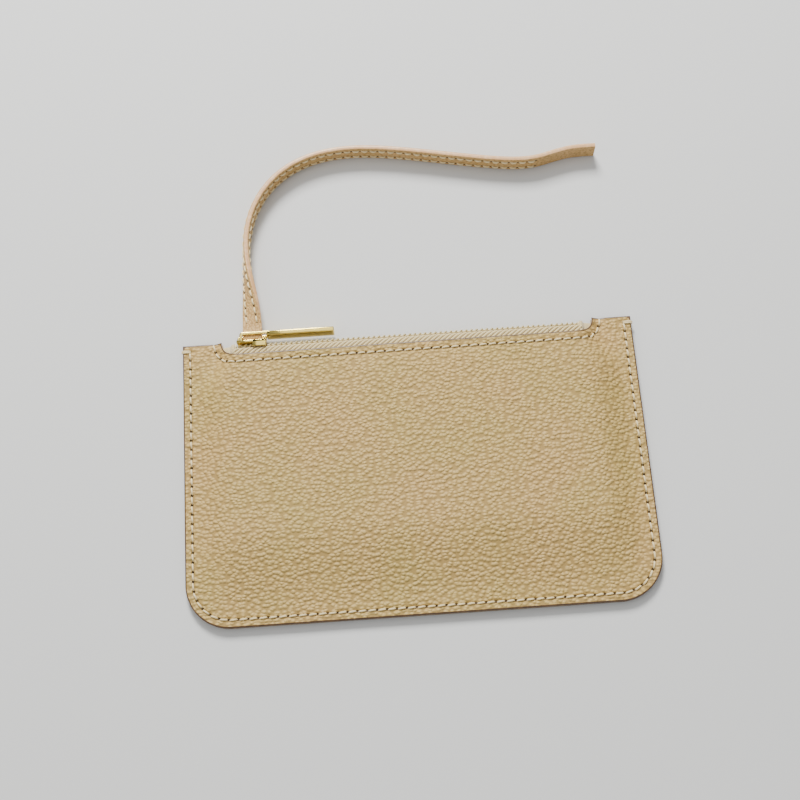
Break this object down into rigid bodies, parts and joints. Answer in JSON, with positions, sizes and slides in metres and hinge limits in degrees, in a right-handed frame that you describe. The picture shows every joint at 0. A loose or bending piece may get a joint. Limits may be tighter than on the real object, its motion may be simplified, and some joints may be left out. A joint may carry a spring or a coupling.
{
  "type": "zippered pouch",
  "caption": "Flat pebbled-leather pouch with a zip across its top edge, a flat metal bar pull and a long stitched leather strap on the slider.",
  "frame": {"origin": "on the surface that the pouch lies on, below the middle of the box round the pouch, slider and pull without the strap", "axes": "+X along the zip, from the closed end that holds the slider to the far end; +Y from the bottom seam to the zip; +Z out of the front panel"},
  "size_m": [0.2, 0.2193, 0.0103],
  "materials": {
    "pebbled_leather": "pebble grain, satin",
    "lining_cloth": "smooth woven",
    "zip_tape": "ribbed woven",
    "nylon_coil": "satin",
    "polished_brass": "polished, gold tone",
    "strap_leather": "fine grain with painted edges",
    "sewing_thread": "waxed thread"
  },
  "bodies": {
    "pouch_back": {"back_panel": "pebbled_leather", "back_lining": "lining_cloth", "zip_tape_back": "zip_tape", "zip_end_left": "zip_tape", "zip_end_right": "zip_tape", "coil_back": "nylon_coil", "coil_ends": "nylon_coil", "top_stop": "polished_brass", "bottom_stop": "polished_brass", "seam_thread_back": "sewing_thread", "zip_thread_back": "sewing_thread"},
    "pouch_front": {"front_panel": "pebbled_leather", "front_lining": "lining_cloth", "zip_tape_front": "zip_tape", "coil_front": "nylon_coil", "seam_thread_front": "sewing_thread", "zip_thread_front": "sewing_thread"},
    "slider": {"slider_body": "polished_brass", "tether_loop": "strap_leather"},
    "pull": {"pull_tab": "polished_brass"},
    "tether": {"tether_outer_ply": "strap_leather", "tether_inner_ply": "strap_leather", "tether_thread": "sewing_thread"}
  },
  "joints": [
    {"name": "mouth_open", "type": "hinge", "parent": "pouch_back", "child": "pouch_front", "pos_m": [0, -0.06446, 0.00163], "axis": [1, 0, 0], "range_deg": [0, 14]},
    {"name": "slider_travel", "type": "slide", "parent": "pouch_back", "child": "slider", "axis": [1, 0, 0], "range_m": [0, 0.1376]},
    {"name": "pull_swing", "type": "hinge", "parent": "slider", "child": "pull", "pos_m": [-0.07345, 0.06114, 0.0048], "axis": [0, 0, 1], "range_deg": [0, 20]},
    {"name": "tether_lift", "type": "hinge", "parent": "slider", "child": "tether", "pos_m": [-0.0685, 0.06896, 0.006], "axis": [1, 0, 0], "range_deg": [0, 60]}
  ]
}
